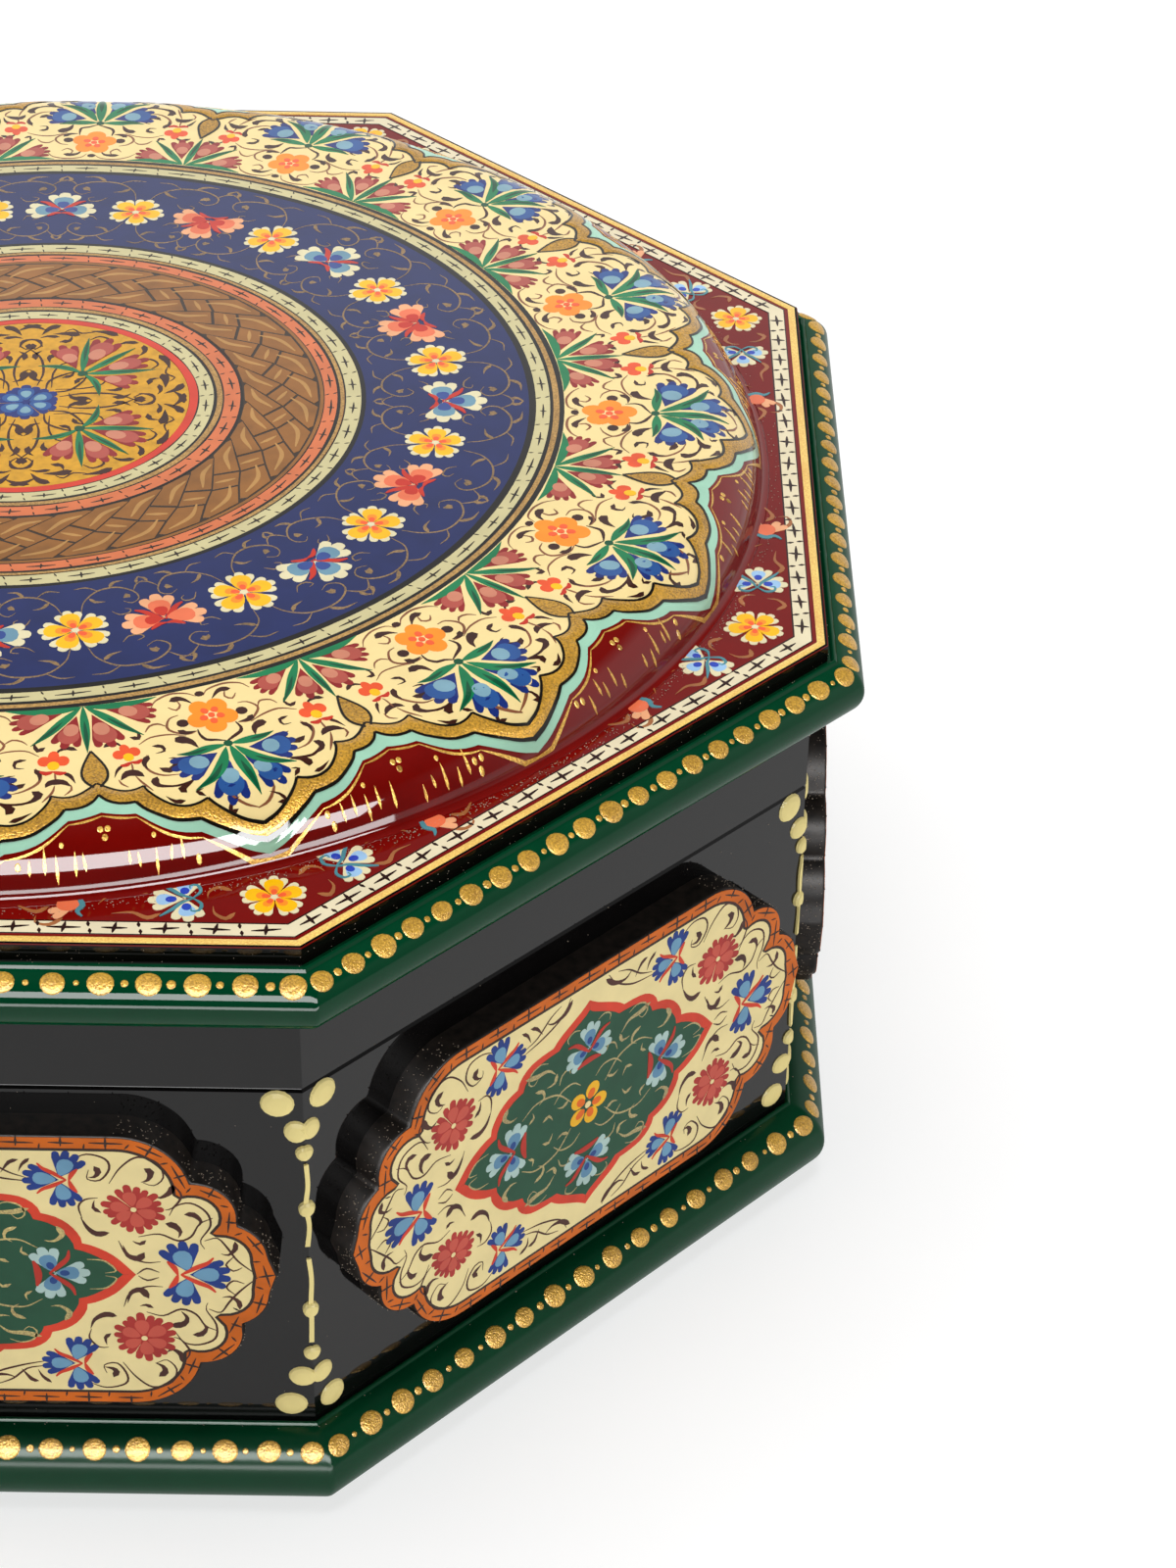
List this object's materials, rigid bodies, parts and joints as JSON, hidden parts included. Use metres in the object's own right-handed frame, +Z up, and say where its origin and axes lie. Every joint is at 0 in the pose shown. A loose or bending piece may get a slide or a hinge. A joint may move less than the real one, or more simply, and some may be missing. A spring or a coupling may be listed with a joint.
{
  "type": "octagonal lacquered box",
  "caption": "Eight-sided painted papier mache box with raised cartouche plaques, round-edged rims and a lift-off lid with a domed disc.",
  "frame": {"origin": "centre of the underside of the base board", "axes": "+Z up through the middle of the lid; +X and -Y square to two of the eight flat sides"},
  "size_m": [0.2, 0.2, 0.086],
  "materials": {
    "rim_green": "gloss",
    "black_lacquer": "gloss",
    "plaque_cream": "gloss",
    "lid_maroon": "gloss",
    "disc_navy": "gloss"
  },
  "bodies": {
    "base": {"base_board": "rim_green", "wall_1": "black_lacquer", "wall_2": "black_lacquer", "wall_3": "black_lacquer", "wall_4": "black_lacquer", "wall_5": "black_lacquer", "wall_6": "black_lacquer", "wall_7": "black_lacquer", "wall_8": "black_lacquer", "plaque_1": "plaque_cream", "plaque_2": "plaque_cream", "plaque_3": "plaque_cream", "plaque_4": "plaque_cream", "plaque_5": "plaque_cream", "plaque_6": "plaque_cream", "plaque_7": "plaque_cream", "plaque_8": "plaque_cream", "lip_1": "black_lacquer", "lip_2": "black_lacquer", "lip_3": "black_lacquer", "lip_4": "black_lacquer", "lip_5": "black_lacquer", "lip_6": "black_lacquer", "lip_7": "black_lacquer", "lip_8": "black_lacquer"},
    "lid": {"skirt_1": "black_lacquer", "skirt_2": "black_lacquer", "skirt_3": "black_lacquer", "skirt_4": "black_lacquer", "skirt_5": "black_lacquer", "skirt_6": "black_lacquer", "skirt_7": "black_lacquer", "skirt_8": "black_lacquer", "rim_board": "rim_green", "plateau_board": "lid_maroon", "crown_disc": "disc_navy"}
  },
  "joints": [
    {"name": "lid_lift", "type": "slide", "parent": "base", "child": "lid", "axis": [0, 0, 1], "range_m": [0, 0.06]}
  ]
}
